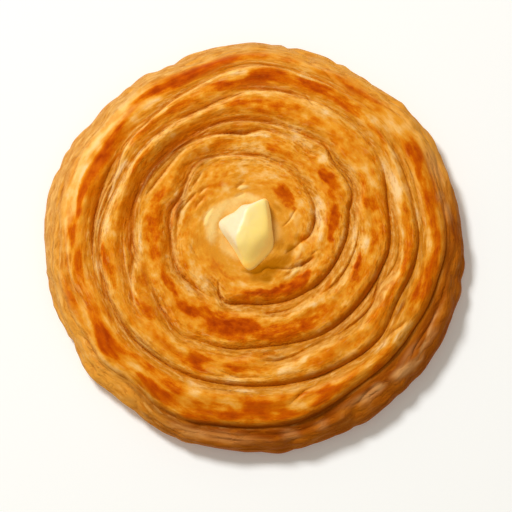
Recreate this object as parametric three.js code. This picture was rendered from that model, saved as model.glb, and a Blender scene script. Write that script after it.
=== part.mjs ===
// Paratha: a thick round flatbread, coiled from one rope of layered dough and pan-browned, with a
// pat of butter on its middle.
// Millimetres, +Z up. The origin is under the middle of the flat base, on the surface it rests on.

import * as THREE from "three";
import { mergeVertices } from "three/addons/utils/BufferGeometryUtils.js";

// Driving dimensions of the bread.
const BREAD_RADIUS = 90;
const BREAD_HEIGHT = 19.5;
const BASE_RADIUS = 86.5;
// The middle of the coil lies a little off the middle of the rim.
const COIL_OFFSET = { x: -1.7, y: 1.7 };
// The skin in half section, from the middle of the top over the shoulder down to the base.
const SKIN_SECTION = [
  [0, BREAD_HEIGHT - 0.5],
  [12, BREAD_HEIGHT - 0.45],
  [30, BREAD_HEIGHT],
  [50, BREAD_HEIGHT - 0.3],
  [65, BREAD_HEIGHT - 1.3],
  [75, BREAD_HEIGHT - 3.1],
  [80, BREAD_HEIGHT - 4.5],
  [84, BREAD_HEIGHT - 6.5],
  [87.5, BREAD_HEIGHT - 9],
  [BREAD_RADIUS, 7],
  [BREAD_RADIUS + 0.2, 5],
  [89, 2],
  [BASE_RADIUS, 0],
];
const SECTORS = 100;
const SKIN_STEPS = 54;
const BASE_RINGS = [BASE_RADIUS - 4, BREAD_RADIUS / 2, 0];

// The creases between the turns of the coil. A route lists [degrees round from +X, distance along
// the skin from the middle, depth], and goes on past 360 degrees where the coil does. slope is how
// far each side of the crease runs before the turn beside it is level.
const CREASES = [
  {
    name: "heart, short",
    slope: 2.2,
    route: [[300, 22.5, 0], [320, 23.5, 1], [330, 25.5, 1.2], [345, 29.5, 0]],
  },
  {
    name: "heart, long",
    slope: 2.4,
    route: [
      [350, 21.5, 0], [362, 25, 1.2], [380, 29, 1.4], [400, 31, 1.3], [430, 33.5, 1.1],
      [455, 36, 1.6], [470, 38.3, 1.8], [484, 40.6, 1.4], [494, 40.2, 0],
    ],
  },
  {
    name: "second turn, back",
    slope: 2.6,
    route: [
      [118, 41, 0], [130, 39.8, 1.4], [140, 37.2, 2], [150, 35.2, 2.3], [162, 36.4, 2.3],
      [180, 34.8, 2.3], [205, 35, 2], [225, 32.8, 1.6], [246, 31.6, 0],
    ],
  },
  {
    name: "second to fourth turn",
    slope: 2.7,
    route: [
      [220, 27.2, 0], [232, 27.3, 1.3], [245, 30.5, 1.9], [249, 31.6, 2.3], [260, 30.3, 2.5],
      [275, 30.2, 2.5], [300, 32.3, 2.3], [330, 35.8, 2.3], [345, 37.8, 2.3], [362, 40.8, 2.2],
      [376, 43.2, 2], [382, 46, 1.7], [390, 48.8, 1.7], [404, 48.2, 1.8], [412, 50.7, 1.7],
      [430, 50.5, 1.8], [450, 52, 2.1], [465, 53, 2.5], [480, 52.5, 3.1], [505, 53.4, 3.1],
      [530, 52.8, 2.9], [545, 51.2, 2.4], [556, 49.5, 0],
    ],
  },
  {
    name: "third turn, lower edge",
    slope: 1.8,
    route: [
      [48, 46.6, 0], [57, 44.4, 1.2], [70, 46.5, 1.1], [85, 47.5, 1.1], [95, 46, 1.3],
      [110, 48.4, 1.3], [125, 50.2, 1.4], [138, 51, 0],
    ],
  },
  {
    name: "fourth to sixth turn",
    slope: 2.8,
    route: [
      [196, 47.3, 0], [215, 49.5, 1.3], [235, 53, 1.5], [243, 51.2, 1.5], [258, 50.4, 1.7],
      [272, 48.8, 1.9], [288, 49.4, 1.9], [305, 52, 2.3], [325, 53.8, 2.7], [345, 56.3, 2.7],
      [354, 58.3, 2.5], [375, 59.7, 2.2], [390, 64, 1.5], [405, 66, 1.4], [425, 66.8, 1.2],
      [450, 66, 1.2], [465, 62.2, 1.4], [485, 60.5, 1.6], [513, 60.2, 1.6], [525, 63, 1.6],
      [540, 66, 1.9], [555, 66.5, 1.9], [563, 67.6, 1.9], [582, 68, 1.9], [605, 66.6, 1.9],
      [630, 65.3, 2.1], [655, 66.8, 2.3], [680, 69.6, 2.1], [696, 67.6, 1.7], [712, 70.4, 1.7],
      [735, 71.3, 1.3], [750, 71.7, 1.1], [758, 72.5, 1], [772, 75, 0],
    ],
  },
  {
    name: "fifth turn, upper edge",
    slope: 2,
    route: [
      [268, 54.4, 0], [283, 55.4, 1.2], [299, 54.1, 1.1], [320, 57.6, 1.7], [330, 58.7, 1.7],
      [338, 57.8, 1.5], [350, 61.8, 1.3], [362, 62.2, 0.9], [374, 61, 0],
    ],
  },
  {
    name: "third turn, flake",
    slope: 1.6,
    route: [[314, 37.8, 0], [328, 40.6, 1.3], [345, 43, 1.4], [362, 45.2, 1], [380, 46.2, 0]],
  },
  {
    name: "second turn, flake",
    slope: 1.6,
    route: [[267, 32.6, 0], [280, 34.5, 1.2], [298, 36, 1.2], [318, 35.4, 0]],
  },
  {
    name: "spur on the left",
    slope: 2,
    route: [[184, 50, 0], [193, 52.6, 1.9], [200, 55.6, 1.8], [209, 58.6, 1.3], [222, 60.4, 0]],
  },
  {
    name: "behind the spur",
    slope: 1.8,
    route: [[170, 56, 0], [186, 56, 1.5], [200, 56.8, 1.2], [208, 58.2, 0]],
  },
  {
    name: "outer turn, back",
    slope: 2.8,
    route: [
      [44, 78.2, 0], [60, 77.8, 1.1], [85, 78.2, 1.3], [100, 76.2, 1.5], [115, 73, 1.9],
      [130, 70, 2.1], [142, 70, 2.1], [154, 66.4, 2.5], [163, 67.6, 2.5], [180, 69.5, 2.3],
      [192, 70, 1.6], [202, 69, 0],
    ],
  },
  {
    name: "crust flake on the left",
    slope: 1.8,
    route: [[172, 82.8, 0], [184, 82, 1.1], [193, 80.8, 1.3], [200, 78.4, 1], [206, 76, 0]],
  },
  {
    name: "under the crust edge",
    slope: 3,
    route: [
      [188, 87, 0], [212, 86.3, 1], [230, 84.5, 1.3], [240, 85.6, 1.5], [255, 84.4, 2], [270, 83, 2.4],
      [285, 82, 2.6], [300, 79.7, 2.6], [325, 79.4, 2.6], [345, 81.6, 2.4], [360, 84, 1.8],
      [375, 86, 1.1], [392, 87, 0],
    ],
  },
];
// A crease is a narrow cut, sharper at the bottom than a round one where CUT_POWER is below 2, in
// the hollow between two round turns.
const CUT_SHARE = 0.62;
const CUT_POWER = 1.4;
const HOLLOW_SPREAD = 2.2;
// Creases that run close together join as one hollow instead of adding up.
const CREASE_BLEND = 2.5;

// Places where the rim stands out or lies in: [degrees, millimetres outwards, degrees of spread].
const RIM_BUMPS = [
  [16, -1.7, 11], [36, 0.3, 7], [55, -1.7, 12], [72, -0.8, 6], [90, 0.9, 8], [113, -1.7, 10],
  [128, -0.3, 5], [143, -1.2, 7], [160, 1.1, 11], [181, -0.8, 6], [209, -1.3, 6], [231, -2.1, 8],
  [250, 0.8, 6], [282, 0.9, 8], [306, -0.9, 8], [331, -0.3, 7], [350, -0.5, 6],
];
// The rim is uneven only below the shoulder and near it.
const RIM_STARTS_AT = 60;

// Soft swellings of the turns, at their height at the rim and fading to the middle:
// [height, waves round, waves along the skin per mm, phase].
const SWELLINGS = [
  [0.25, 5, 0.052, 0.4],
  [0.2, 9, -0.071, 2.1],
  [0.14, 14, 0.094, 4.4],
];
// The butter's seat is smooth up to SEAT_RADIUS, and the relief is whole from SEAT_EDGE on.
const SEAT_RADIUS = 18;
const SEAT_EDGE = 25;

// The butter: a soft-edged block, cut by these faces round its middle.
const BUTTER_GAP = 0.3;
const BUTTER_MIDDLE = { x: -3, y: 3, aboveBase: 3.2 };
// [degrees round from +X, degrees up, distance from the middle]
const BUTTER_FACES = [
  [0, -90, 3.2],
  [160, 55, 6.1],
  [-18, 80, 5],
  [118, 12, 8.8],
  [212, 8, 8.8],
  [7, 8, 9.6],
  [-45, 42, 7.7],
  [270, 56, 8.1],
];
const BUTTER_EDGE_SHARPNESS = 8;
const BUTTER_DETAIL = 8;

const degrees = THREE.MathUtils.degToRad;

// A smooth curve through the rows of a table, read at x in the table's first column.
function readCurve(rows, x, column) {
  const last = rows.length - 1;
  if (x <= rows[0][0]) return rows[0][column];
  if (x >= rows[last][0]) return rows[last][column];
  let i = 0;
  while (rows[i + 1][0] < x) i += 1;
  const slopeAt = (k) => {
    const before = rows[Math.max(k - 1, 0)];
    const after = rows[Math.min(k + 1, last)];
    return (after[column] - before[column]) / (after[0] - before[0]);
  };
  const [start, end] = [rows[i], rows[i + 1]];
  const run = end[0] - start[0];
  const t = (x - start[0]) / run;
  const fromStart = (1 + 2 * t) * (1 - t) ** 2 * start[column];
  const fromEnd = t * t * (3 - 2 * t) * end[column];
  const leaving = t * (1 - t) ** 2 * run * slopeAt(i);
  const arriving = t * t * (t - 1) * run * slopeAt(i + 1);
  return fromStart + fromEnd + leaving + arriving;
}

// The skin's section with the distance along it put first: [distance, radius, height].
function measureSkin(section) {
  let along = 0;
  return section.map(([radius, height], i) => {
    if (i > 0) along += Math.hypot(radius - section[i - 1][0], height - section[i - 1][1]);
    return [along, radius, height];
  });
}

const skin = measureSkin(SKIN_SECTION);
const skinLength = skin[skin.length - 1][0];

// How deep the creases cut at an angle (degrees) and a distance along the skin.
function creaseDepth(angle, along) {
  let sum = 0;
  for (const { slope, route } of CREASES) {
    for (let turned = angle; turned <= route[route.length - 1][0]; turned += 360) {
      if (turned < route[0][0]) continue;
      const away = Math.abs(along - readCurve(route, turned, 1)) / slope;
      const cut = CUT_SHARE * Math.exp(-(away ** CUT_POWER));
      const hollow = (1 - CUT_SHARE) * Math.exp(-((away / HOLLOW_SPREAD) ** 2));
      const depth = Math.max(readCurve(route, turned, 2), 0);
      sum += (depth * (cut + hollow)) ** CREASE_BLEND;
    }
  }
  return sum ** (1 / CREASE_BLEND);
}

// How far the skin swells out at an angle (degrees) and a distance along the skin.
function swelling(angle, along) {
  const round = degrees(angle);
  const wave = ([height, turns, perMm, phase]) =>
    height * Math.sin(turns * round + 2 * Math.PI * perMm * along + phase);
  const whole = SWELLINGS.reduce((sum, row) => sum + wave(row), 0);
  return whole * Math.min(along / BREAD_RADIUS, 1);
}

function rimBump(angle) {
  const bump = ([centre, height, spread]) => {
    const away = ((angle - centre + 540) % 360) - 180;
    return height * Math.exp(-((away / spread) ** 2));
  };
  return RIM_BUMPS.reduce((sum, row) => sum + bump(row), 0);
}

// A point of the skin at an angle (degrees) and a distance along it.
function skinPoint(angle, along) {
  const radius = readCurve(skin, along, 1);
  const height = readCurve(skin, along, 2);
  const step = 0.5;
  const ahead = Math.min(along + step, skinLength);
  const behind = Math.max(along - step, 0);
  const tangent = new THREE.Vector2(
    readCurve(skin, ahead, 1) - readCurve(skin, behind, 1),
    readCurve(skin, ahead, 2) - readCurve(skin, behind, 2),
  ).normalize();
  const awayFromSeat = THREE.MathUtils.smoothstep(along, SEAT_RADIUS, SEAT_EDGE);
  const awayFromBase = THREE.MathUtils.smoothstep(skinLength - along, 0, 4);
  const relief = (swelling(angle, along) - creaseDepth(angle, along)) * awayFromSeat * awayFromBase;
  const uneven = rimBump(angle) * THREE.MathUtils.smoothstep(radius, RIM_STARTS_AT, BASE_RADIUS);
  const reach = radius - tangent.y * relief + uneven;
  const offCentre = Math.max(1 - radius / BREAD_RADIUS, 0);
  return new THREE.Vector3(
    reach * Math.cos(degrees(angle)) + COIL_OFFSET.x * offCentre,
    reach * Math.sin(degrees(angle)) + COIL_OFFSET.y * offCentre,
    height + tangent.x * relief,
  );
}

// Joins the seam and the poles of a geometry, so that its triangles make one closed body.
function closeBody(geometry) {
  geometry.deleteAttribute("normal");
  geometry.deleteAttribute("uv");
  const joined = mergeVertices(geometry, 1e-4);
  const corners = joined.index.array;
  const kept = [];
  for (let i = 0; i < corners.length; i += 3) {
    const [a, b, c] = corners.slice(i, i + 3);
    if (a !== b && b !== c && c !== a) kept.push(a, b, c);
  }
  joined.setIndex(kept);
  joined.computeVertexNormals();
  return joined;
}

// The bread: a lathed half section whose every point is then moved to its place on the skin.
function makeBread() {
  const skinAlong = Array.from({ length: SKIN_STEPS + 1 }, (_, i) => (skinLength * i) / SKIN_STEPS);
  const topToRim = skinAlong.map((along) => [readCurve(skin, along, 1), readCurve(skin, along, 2)]);
  const section = [...topToRim, ...BASE_RINGS.map((radius) => [radius, 0])];
  const profile = section.map(([radius, height]) => new THREE.Vector2(radius, height)).reverse();
  const geometry = new THREE.LatheGeometry(profile, SECTORS);
  const place = geometry.getAttribute("position");
  for (let sector = 0; sector <= SECTORS; sector += 1) {
    const angle = (360 * (sector % SECTORS)) / SECTORS;
    for (let row = 0; row < profile.length; row += 1) {
      const fromTop = profile.length - 1 - row;
      const onSkin = fromTop <= SKIN_STEPS;
      const edge = skinPoint(angle, onSkin ? skinAlong[fromTop] : skinLength);
      const inwards = onSkin ? 1 : section[fromTop][0] / BASE_RADIUS;
      const i = sector * profile.length + row;
      place.setXYZ(i, edge.x * inwards, edge.y * inwards, onSkin ? edge.z : 0);
    }
  }
  return closeBody(geometry);
}

// The butter: a ball whose every point is drawn out to the nearest of the block's faces, with the
// faces blended so that the edges are round.
function makeButter() {
  const geometry = new THREE.IcosahedronGeometry(1, BUTTER_DETAIL);
  const faces = BUTTER_FACES.map(([round, up, distance]) => ({
    normal: new THREE.Vector3(
      Math.cos(degrees(up)) * Math.cos(degrees(round)),
      Math.cos(degrees(up)) * Math.sin(degrees(round)),
      Math.sin(degrees(up)),
    ),
    distance,
  }));
  const place = geometry.getAttribute("position");
  const direction = new THREE.Vector3();
  for (let i = 0; i < place.count; i += 1) {
    direction.fromBufferAttribute(place, i).normalize();
    const nearness = faces.reduce((sum, { normal, distance }) => {
      const share = Math.max(normal.dot(direction) / distance, 0);
      return sum + share ** BUTTER_EDGE_SHARPNESS;
    }, 0);
    direction.multiplyScalar(nearness ** (-1 / BUTTER_EDGE_SHARPNESS));
    place.setXYZ(i, direction.x, direction.y, direction.z);
  }
  return closeBody(geometry);
}

const bread = new THREE.Mesh(
  makeBread(),
  new THREE.MeshStandardMaterial({ color: 0xe6a03f, roughness: 0.6, metalness: 0 }),
);
bread.name = "paratha";

const butter = new THREE.Mesh(
  makeButter(),
  new THREE.MeshStandardMaterial({ color: 0xf8e6a0, roughness: 0.35, metalness: 0 }),
);
butter.name = "butter";
const seatHeight = BREAD_HEIGHT - 0.5;
butter.position.set(
  BUTTER_MIDDLE.x,
  BUTTER_MIDDLE.y,
  seatHeight + BUTTER_GAP + BUTTER_MIDDLE.aboveBase,
);

const paratha = new THREE.Group();
paratha.add(bread, butter);

export default paratha;
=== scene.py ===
"""A thick coiled paratha with a pat of butter melting on it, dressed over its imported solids."""

import math
from types import SimpleNamespace

import bmesh
import bpy
import numpy as np
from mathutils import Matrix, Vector


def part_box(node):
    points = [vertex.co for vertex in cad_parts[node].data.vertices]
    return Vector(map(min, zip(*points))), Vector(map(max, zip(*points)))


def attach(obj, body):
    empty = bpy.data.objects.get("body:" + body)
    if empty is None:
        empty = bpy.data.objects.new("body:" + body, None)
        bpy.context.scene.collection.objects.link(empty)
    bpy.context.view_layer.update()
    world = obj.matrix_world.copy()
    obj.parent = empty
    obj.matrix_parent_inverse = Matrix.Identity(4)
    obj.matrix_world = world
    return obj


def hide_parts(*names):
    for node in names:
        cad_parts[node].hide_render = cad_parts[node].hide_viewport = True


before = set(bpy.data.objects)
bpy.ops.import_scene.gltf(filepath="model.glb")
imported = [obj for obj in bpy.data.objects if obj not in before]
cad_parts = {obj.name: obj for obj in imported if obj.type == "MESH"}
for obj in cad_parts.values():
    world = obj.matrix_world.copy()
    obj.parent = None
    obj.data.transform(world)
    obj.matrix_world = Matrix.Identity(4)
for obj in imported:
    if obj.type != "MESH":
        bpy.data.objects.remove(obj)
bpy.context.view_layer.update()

MM = 0.001

# The bread's half section: [radius, height] in millimetres, as in the solid under it.
BREAD_RADIUS = 90
BREAD_HEIGHT = 19.5
BASE_RADIUS = 86.5
COIL_OFFSET = (-1.7, 1.7)
SKIN_SECTION = [
    [0, BREAD_HEIGHT - 0.5],
    [12, BREAD_HEIGHT - 0.45],
    [30, BREAD_HEIGHT],
    [50, BREAD_HEIGHT - 0.3],
    [65, BREAD_HEIGHT - 1.3],
    [75, BREAD_HEIGHT - 3.1],
    [80, BREAD_HEIGHT - 4.5],
    [84, BREAD_HEIGHT - 6.5],
    [87.5, BREAD_HEIGHT - 9],
    [BREAD_RADIUS, 7],
    [BREAD_RADIUS + 0.2, 5],
    [89, 2],
    [BASE_RADIUS, 0],
]
TANGENT_STEP = 0.5

# The creases between the turns of the coil, as in the solid to within 2 mm: how far a side of the
# crease runs, then its route of [degrees round, distance along the skin from the middle, depth].
CREASES = [
    (2.2, [[300, 22.5, 0], [320, 23.5, 1], [330, 25.5, 1.2], [345, 29.5, 0]]),
    (2.4, [
        [350, 21.5, 0], [362, 25, 1.2], [380, 29, 1.4], [400, 31, 1.3], [430, 33.5, 1.1],
        [455, 36, 1.6], [470, 38.3, 1.8], [484, 40.6, 1.4], [494, 40.2, 0],
    ]),
    (2.6, [
        [118, 41, 0], [130, 39.8, 1.4], [140, 37.2, 2], [150, 35.2, 2.3], [162, 36.4, 2.3],
        [180, 34.8, 2.3], [205, 35, 2], [225, 32.8, 1.6], [246, 31.6, 0],
    ]),
    (2.7, [
        [220, 27.2, 0], [232, 27.3, 1.3], [245, 30.5, 1.9], [249, 31.6, 2.3], [260, 30.3, 2.5],
        [275, 30.2, 2.5], [300, 32.3, 2.3], [330, 35.8, 2.3], [345, 37.8, 2.3], [362, 40.8, 2.2],
        [376, 43.2, 2], [382, 46, 1.7], [390, 48.8, 1.7], [404, 48.2, 1.8], [412, 50.7, 1.7],
        [430, 50.5, 1.8], [450, 52, 2.1], [465, 53, 2.5], [480, 52.5, 3.1], [505, 53.4, 3.1],
        [530, 52.8, 2.9], [545, 51.2, 2.4], [556, 49.5, 0],
    ]),
    (1.8, [
        [48, 46.6, 0], [57, 44.4, 1.2], [70, 46.5, 1.1], [85, 47.5, 1.1], [95, 46, 1.3],
        [110, 48.4, 1.3], [125, 50.2, 1.4], [138, 51, 0],
    ]),
    (2.8, [
        [196, 47.3, 0], [215, 49.5, 1.3], [235, 53, 1.5], [243, 51.2, 1.5], [258, 50.4, 1.7],
        [272, 48.8, 1.9], [288, 49.4, 1.9], [305, 52, 2.3], [325, 53.8, 2.7], [345, 56.3, 2.7],
        [354, 58.3, 2.5], [375, 59.7, 2.2], [390, 64, 1.5], [405, 66, 1.4], [425, 66.8, 1.2],
        [450, 66, 1.2], [465, 62.2, 1.4], [485, 61.8, 1.6], [513, 62.2, 1.6], [525, 63.4, 1.6],
        [540, 66, 1.9], [555, 66.5, 1.9], [563, 67.6, 1.9], [582, 68, 1.9], [605, 66.6, 1.9],
        [630, 65.3, 2.1], [655, 66.8, 2.3], [680, 69.6, 2.1], [696, 67.6, 1.7], [712, 70.4, 1.7],
        [735, 71.3, 1.3], [750, 71.7, 1.1], [758, 72.5, 1], [772, 75, 0],
    ]),
    (2, [
        [268, 54.4, 0], [283, 55.4, 1.2], [299, 54.1, 1.1], [320, 57.6, 1.7], [330, 58.7, 1.7],
        [338, 57.8, 1.5], [350, 61.8, 1.3], [362, 62.2, 0.9], [374, 61, 0],
    ]),
    (1.6, [[314, 37.8, 0], [328, 40.6, 1.3], [345, 43, 1.4], [362, 45.2, 1], [380, 46.2, 0]]),
    (1.6, [[267, 32.6, 0], [280, 34.5, 1.2], [298, 36, 1.2], [318, 35.4, 0]]),
    (2, [[184, 50, 0], [193, 52.6, 1.9], [200, 55.6, 1.8], [209, 58.6, 1.3], [222, 60.4, 0]]),
    (1.8, [[170, 56, 0], [186, 56, 1.5], [200, 56.8, 1.2], [208, 58.2, 0]]),
    (2.8, [
        [44, 78.2, 0], [60, 77.8, 1.1], [85, 78.2, 1.3], [100, 76.2, 1.5], [115, 73, 1.9],
        [130, 70, 2.1], [142, 70, 2.1], [154, 66.4, 2.5], [163, 67.6, 2.5], [180, 69.5, 2.3],
        [192, 70, 1.6], [202, 69, 0],
    ]),
    (1.8, [[172, 82.8, 0], [184, 82, 1.1], [193, 80.8, 1.3], [200, 78.4, 1], [206, 76, 0]]),
    (3, [
        [188, 87, 0], [212, 86.3, 1], [230, 84.5, 1.3], [240, 85.6, 1.5], [255, 84.4, 2],
        [270, 83, 2.4], [285, 82, 2.6], [300, 79.7, 2.6], [325, 79.4, 2.6], [345, 81.6, 2.4],
        [360, 84, 1.8], [375, 86, 1.1], [392, 87, 0],
    ]),
]
CUT_SHARE = 0.12
CUT_POWER = 1.3
CUT_SPREAD = 0.3
# The folds lean towards this side, the lamp's side, in degrees round, and are steeper there.
FOLDS_LEAN_TO_LAMP_SIDE = 135
FOLD_INNER_REACH = 1.6
FOLD_INNER_ROUNDNESS = 2
FOLD_WALL = 0.45
FOLD_WALL_SHARE = 0.6
FOLD_OUTER_REACH = 2.5
FOLD_HEIGHT = 1.05
CREASE_BLEND = 2.5
# Where a crease's floor lies open on its outer side, in shares of its slope.
FLOOR_STARTS = (0, 0.3)
FLOOR_ENDS = (0.6, 1.9)
# The depths at which a crease shows in full, in its cut and lips, its leaves and its dark line.
FULL_DEPTH = 2
LEAFY_DEPTH = 1.5
CREASE_FULL_DEPTH = 2.5

# Finer wrinkles that run beside the creases and across the folds, each a route as above.
WRINKLES = [
    [[330, 57.6, 0], [336, 57.4, 0.7], [342, 56.6, 0.6], [348, 56.8, 0]],
    [[24, 49.3, 0], [30, 49.5, 0.6], [40, 49.3, 0.6], [46, 50.2, 0.5], [52, 51.6, 0]],
    [[20, 45.8, 0], [27, 47, 0.8], [36, 47.2, 0.6], [47, 47.3, 0]],
    [[0, 43.6, 0], [8, 44.3, 0.5], [16, 45.1, 0.5], [21, 46.3, 0]],
    [[0, 73.4, 0], [7, 73.2, 0.5], [15, 73.8, 0.4], [24, 74.6, 0.5], [33, 74.3, 0]],
    [[19, 71.8, 0], [28, 72.6, 0.5], [34, 73, 0.4], [41, 73.6, 0]],
    [[45, 69.4, 0], [48, 68.4, 0.6], [53, 70, 0]],
    [[37, 32.4, 0], [43, 33.8, 0.5], [50, 33.2, 0.4], [58, 35.4, 0.5], [63, 35.7, 0]],
    [[38, 84.2, 0], [42, 85.3, 0.5], [47, 83.8, 0.4], [51, 83, 0]],
    [[65, 63.2, 0], [68, 65, 0.7], [70, 67.2, 0.5], [73, 68, 0]],
    [[69, 67.5, 0], [76, 67.3, 0.6], [85, 66.9, 0.6], [92, 66.6, 0.4], [99, 66, 0]],
    [[78, 65.5, 0], [84, 66.2, 0.4], [88, 65.8, 0]],
    [[92, 64.6, 0], [100, 64, 0.4], [108, 62.3, 0.5], [114, 61.4, 0]],
    [[104, 61.9, 0], [111, 61.3, 0.5], [117, 60.7, 0.6], [126, 60.1, 0]],
    [[61, 78.8, 0], [66, 81.2, 0.5], [70, 84, 0.4], [74, 84.4, 0]],
    [[74, 79, 0], [83, 78.8, 0.6], [92, 79, 0.6], [100, 78, 0.5], [107, 76, 0]],
    [[79, 46.6, 0], [88, 46.7, 0.5], [94, 45.7, 0.8], [99, 46.5, 0.9], [106, 47.5, 0.7],
     [113, 48.3, 0]],
    [[65, 34.8, 0], [72, 34.7, 0.5], [80, 35.6, 0.5], [90, 36.2, 0.5], [97, 36.5, 0]],
    [[103, 53.2, 0], [109, 52, 0.5], [114, 50.6, 0.5], [119, 50, 0]],
    [[119, 47.8, 0], [128, 48.6, 0.5], [136, 47.9, 0.6], [143, 47.5, 0.8], [150, 47.9, 0.8],
     [156, 48.8, 0.5], [161, 50.6, 0]],
    [[121, 50, 0], [128, 50.6, 0.6], [136, 49.8, 0.5], [146, 50.2, 0.5], [157, 51, 0]],
    [[139, 51.2, 0], [147, 51.7, 0.5], [156, 51.8, 0]],
    [[125, 61, 0], [129, 61.8, 0.5], [134, 61.5, 0]],
    [[146, 69.8, 0], [156, 69.1, 1], [166, 69, 1.1], [176, 69.4, 0.9], [187, 69.9, 0]],
    [[154, 66.2, 0], [160, 65, 0.8], [167, 65.6, 0.8], [175, 67.3, 0.6], [185, 67.9, 0]],
    [[157, 62.4, 0], [163, 63.5, 0.6], [170, 64.9, 0.5], [178, 66.1, 0.4], [185, 66.6, 0]],
    [[124, 37.9, 0], [132, 37.5, 0.6], [140, 36, 0.6], [147, 34.4, 0.6], [153, 33.6, 0]],
    [[125, 36, 0], [131, 34.7, 0.5], [137, 33.8, 0.6], [144, 33.5, 0]],
    [[140, 30.2, 0], [146, 30.7, 0.7], [152, 31.3, 0.7], [160, 32.3, 0.6], [170, 32.6, 0.5],
     [184, 32, 0]],
    [[129, 28.4, 0], [136, 29.2, 0.5], [143, 29, 0]],
    [[135, 27, 0], [144, 26.5, 0.4], [150, 27, 0.4], [157, 26.6, 0]],
    [[139, 85.5, 0], [147, 86.3, 0.5], [155, 85.3, 0]],
    [[150, 84.6, 0], [157, 83.1, 0.5], [164, 82.6, 0]],
    [[157, 86.7, 0], [166, 86.1, 0.5], [173, 87.5, 0]],
    [[170, 85, 0], [180, 85.7, 0.5], [190, 85, 0]],
    [[179, 52.1, 0], [186, 52.4, 0.6], [192, 51.4, 0.6], [197, 50.6, 0]],
    [[181, 67, 0], [190, 67.4, 0.4], [196, 66.8, 0.5], [200, 66, 0]],
    [[196, 70.3, 0], [201, 68.8, 0.6], [207, 66.8, 0]],
    [[203, 68.8, 0], [212, 68.5, 0.5], [222, 68.3, 0.5], [232, 67.7, 0.6], [243, 67, 0]],
    [[212, 66.4, 0], [222, 66.3, 0.5], [232, 65.8, 0.5], [240, 65.6, 0]],
    [[221, 63.8, 0], [230, 64.5, 0.5], [239, 64.9, 0]],
    [[205, 69.5, 0], [209, 70.7, 0.6], [213, 71.4, 0]],
    [[209, 49.5, 0], [216, 49.8, 0.5], [222, 50.5, 0.7], [227, 50.2, 0]],
    [[207, 48.2, 0], [215, 47.6, 0.4], [222, 48.7, 0.4], [227, 49, 0]],
    [[197, 35.9, 0], [206, 35.5, 0.6], [214, 34, 0.5], [226, 33.9, 0.5], [234, 33.2, 0]],
    [[184, 27.4, 0], [191, 26.4, 0.4], [197, 25.6, 0.4], [207, 25, 0]],
    [[207, 89.5, 0], [210, 87, 0.6], [213, 85.4, 0.5], [217, 85.2, 0]],
    [[254, 68.8, 0], [260, 68.2, 0.6], [266, 68, 0]],
    [[255, 60.2, 0], [260, 61.2, 0.6], [263, 62, 0.7], [268, 61.7, 0.5], [277, 62.2, 0]],
    [[272, 52.9, 0], [277, 51.8, 0.5], [282, 52.5, 0]],
    [[276, 50.6, 0], [284, 50.7, 0.5], [292, 50.9, 0]],
    [[281, 74.6, 0], [285, 71.8, 0.8], [288, 70.4, 0.6], [292, 70, 0]],
    [[314, 34.9, 0], [322, 35.6, 0.5], [332, 36.6, 0.5], [341, 37.2, 0]],
    [[321, 71.8, 0], [325, 72, 0.6], [329, 74, 0.6], [332, 75.2, 0]],
    [[321, 85.8, 0], [326, 84.5, 0.8], [334, 85, 0.7], [342, 85.4, 0.5], [353, 85.2, 0]],
    [[338, 26.2, 0], [343, 27.4, 0.5], [348, 29.2, 0]],
    [[299, 87.4, 0], [306, 84, 0.5], [312, 84.6, 0]],
    [[240, 88, 0], [250, 86.6, 0.3], [262, 86.6, 0.3], [276, 86, 0.3], [290, 85.2, 0.3], [302, 83, 0]],
    [[254, 16.6, 0], [264, 16.8, 0.4], [274, 17.3, 0.5], [283, 17, 0.5], [290, 16.2, 0.6],
     [297, 16.5, 0.7], [301, 17.6, 0.7], [307, 18.6, 0.6], [312, 20.2, 0.6], [317, 22, 0.5],
     [322, 23, 0.5], [330, 25, 0.6], [336, 27, 0.6], [345, 28.6, 0]],
    [[327, 16.6, 0], [335, 17.6, 0.5], [345, 19.6, 0.6], [352, 21.4, 0.5], [362, 25.5, 0.5],
     [370, 27, 0.6], [380, 28.6, 0.5], [388, 30.2, 0]],
    [[234, 24.8, 0], [237, 26.2, 0.7], [241, 28.8, 0.9], [244, 30.2, 0.9], [247, 31.8, 0]],
    [[143, 20.2, 0], [149, 20.8, 0.5], [156, 21.3, 0.5], [162, 21.4, 0.5], [168, 20.8, 0]],
    [[97, 18.9, 0], [104, 18.3, 0.5], [110, 18.1, 0.5], [116, 18.1, 0]],
    [[96, 24, 0], [101, 23, 0.6], [106, 22, 0.6], [109, 21.8, 0]],
    [[13, 13.6, 0], [17, 15, 0.4], [22, 17.5, 0.4], [28, 20.2, 0.5], [32, 22.5, 0]],
]
WRINKLE_SLOPE = 0.7
WRINKLE_FULL_DEPTH = 0.7
WRINKLE_LIP_PLACE = 1.7
WRINKLE_LIP_WIDTH = 0.7
WRINKLE_LIP_SHARE = 0.6

# Places where the rim stands out or lies in: [degrees, millimetres outwards, degrees of spread].
RIM_BUMPS = [
    [16, -1.7, 11], [36, 0.3, 7], [55, -1.7, 12], [72, -0.8, 6], [90, 0.9, 8], [113, -1.7, 10],
    [128, -0.3, 5], [143, -1.2, 7], [160, 1.1, 11], [181, -0.8, 6], [209, -1.3, 6], [231, -2.1, 8],
    [250, 0.8, 6], [282, 0.9, 8], [306, -0.9, 8], [331, -0.3, 7], [350, -0.5, 6],
]
# The rim is uneven from this radius out, and its side has small knobs.
RIM_STARTS_AT = 60
RIM_KNOB = 0.6
RIM_KNOB_GRAIN = (76, 5.5, 31)
RIM_KNOB_BLEND = 6
# [height at the rim, waves round, waves along the skin per mm, phase]
SWELLINGS = [
    [0.25, 5, 0.052, 0.4],
    [0.2, 9, -0.071, 2.1],
    [0.14, 14, 0.094, 4.4],
]
# The relief starts at the seat's radius and is whole at its edge. The wrinkles start nearer, at the
# heart, and all of it fades out at the edge of the base.
SEAT_RADIUS = 18
SEAT_EDGE = 25
HEART_RADIUS = 10
HEART_EDGE = 15
BASE_EDGE = 4

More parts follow.
